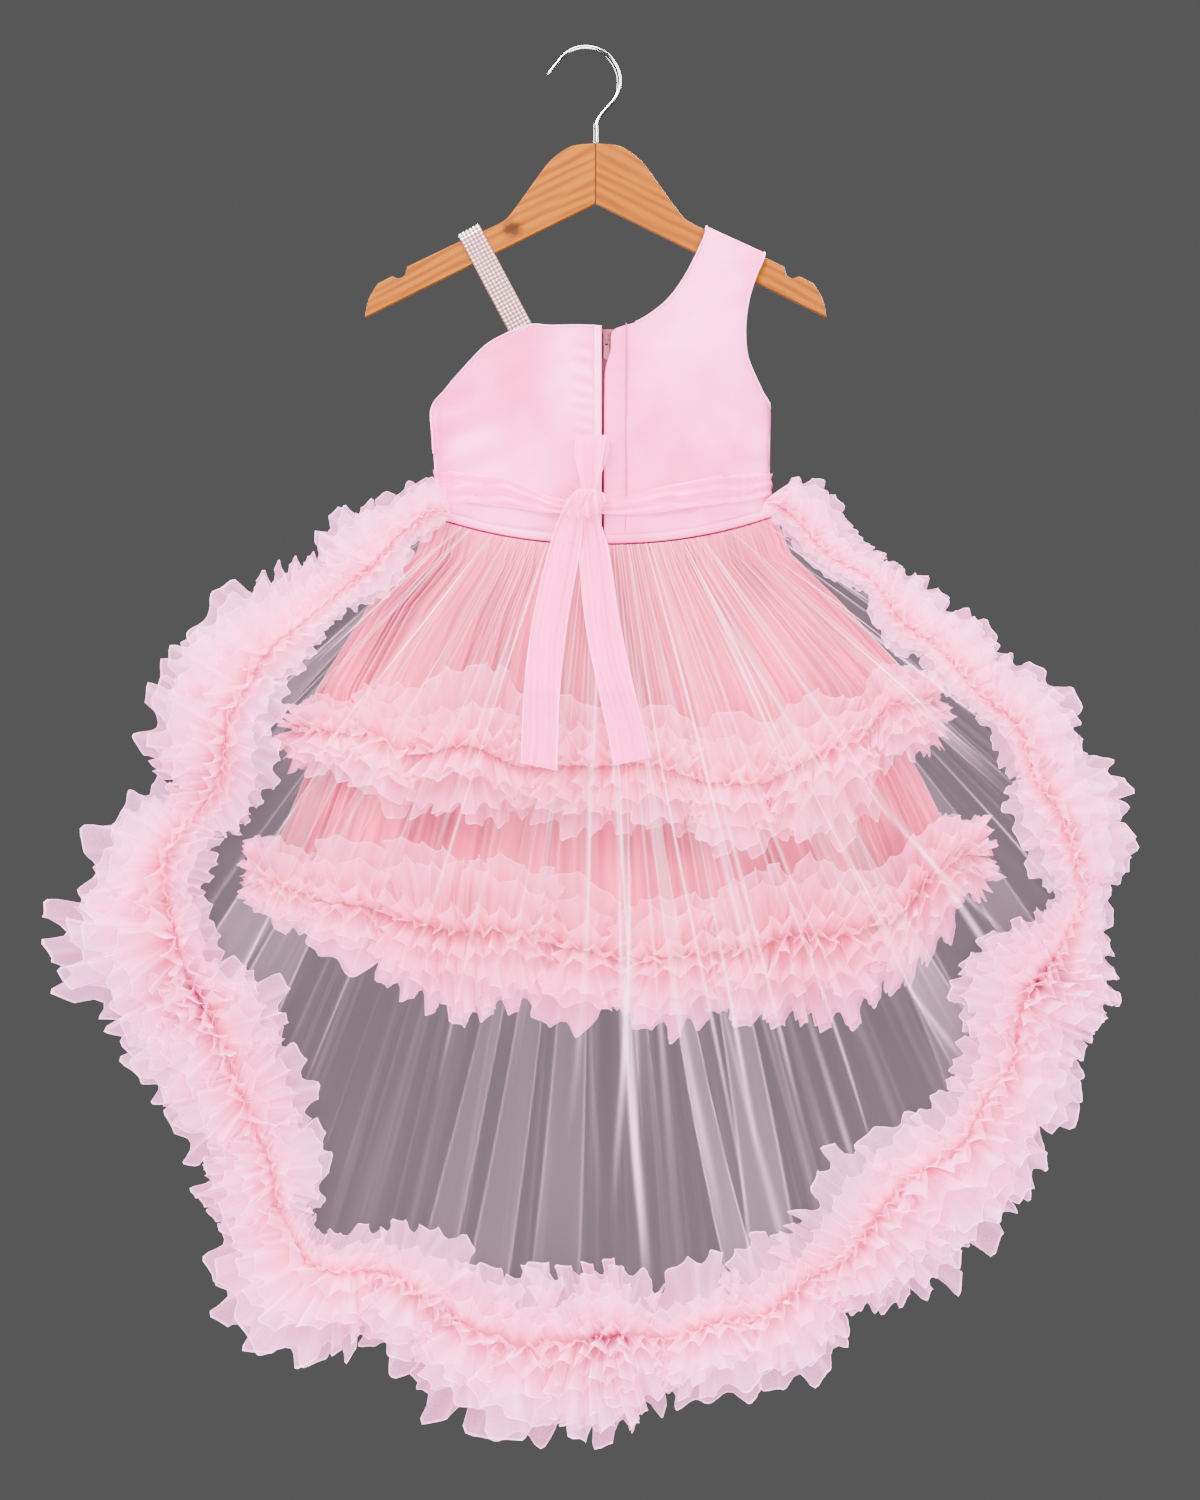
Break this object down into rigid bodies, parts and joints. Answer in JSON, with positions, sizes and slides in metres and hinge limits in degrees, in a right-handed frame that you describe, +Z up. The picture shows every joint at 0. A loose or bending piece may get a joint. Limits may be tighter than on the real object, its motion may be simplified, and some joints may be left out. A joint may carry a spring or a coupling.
{
  "type": "toddler party dress on a wooden hanger",
  "caption": "One-shoulder toddler party dress in satin and tulle on a wooden hanger: tied sash, back zip, ruffled tiers and a long sheer train with a ruffled edge.",
  "frame": {"origin": "top of the hook's inside, where a rail carries the hanger", "axes": "+Z up; -Y out of the dress's back, the side with the zip and the bow; +X to the right seen from that side"},
  "size_m": [0.8054, 0.1752, 1.0757],
  "materials": {
    "wood": "clear satin lacquer on straight-grained softwood",
    "hook": "bright plated wire",
    "satin": "pale pink satin",
    "zip_tape": "woven tape",
    "zip_metal": "pink lacquered metal",
    "stones": "rows of clear stones on a pink backing",
    "ruffle_tulle": "gathered layers of soft tulle",
    "skirt_tulle": "soft tulle over a pink lining",
    "net": "sheer tulle",
    "sash_tulle": "folded tulle ribbon"
  },
  "bodies": {
    "dress": {"hanger_arm_left": "wood", "hanger_arm_right": "wood", "hanger_hook": "hook", "bodice_back_left": "satin", "bodice_back_right": "satin", "bodice_front": "satin", "strap_stones": "stones", "zip_tape": "zip_tape", "zip_slider": "zip_metal", "skirt_lower_back": "skirt_tulle", "skirt_lower_front": "skirt_tulle", "skirt_upper_back": "skirt_tulle", "skirt_upper_front": "skirt_tulle", "ruffle_lower_back_left": "ruffle_tulle", "ruffle_lower_back_right": "ruffle_tulle", "ruffle_lower_front_left": "ruffle_tulle", "ruffle_lower_front_right": "ruffle_tulle", "ruffle_upper_back_left": "ruffle_tulle", "ruffle_upper_back_right": "ruffle_tulle", "ruffle_upper_front_left": "ruffle_tulle", "ruffle_upper_front_right": "ruffle_tulle", "train_net": "net", "waist_band_back": "satin", "waist_band_front": "satin", "sash_back_left": "sash_tulle", "sash_back_right": "sash_tulle", "sash_front": "sash_tulle", "sash_knot": "sash_tulle", "sash_tail_left": "sash_tulle", "sash_tail_right": "sash_tulle", "sash_loop": "sash_tulle", "train_trim_01": "ruffle_tulle", "train_trim_02": "ruffle_tulle", "train_trim_03": "ruffle_tulle", "train_trim_04": "ruffle_tulle", "train_trim_05": "ruffle_tulle", "train_trim_06": "ruffle_tulle", "train_trim_07": "ruffle_tulle", "train_trim_08": "ruffle_tulle", "train_trim_09": "ruffle_tulle", "train_trim_10": "ruffle_tulle", "train_trim_11": "ruffle_tulle", "train_trim_12": "ruffle_tulle"},
    "zip_pull": {"zip_pull": "zip_metal"}
  },
  "joints": [
    {"name": "zip_pull_hinge", "type": "hinge", "parent": "dress", "child": "zip_pull", "pos_m": [0.0145, -0.01483, -0.2254], "axis": [-1, 0, 0], "range_deg": [0, 150]}
  ]
}
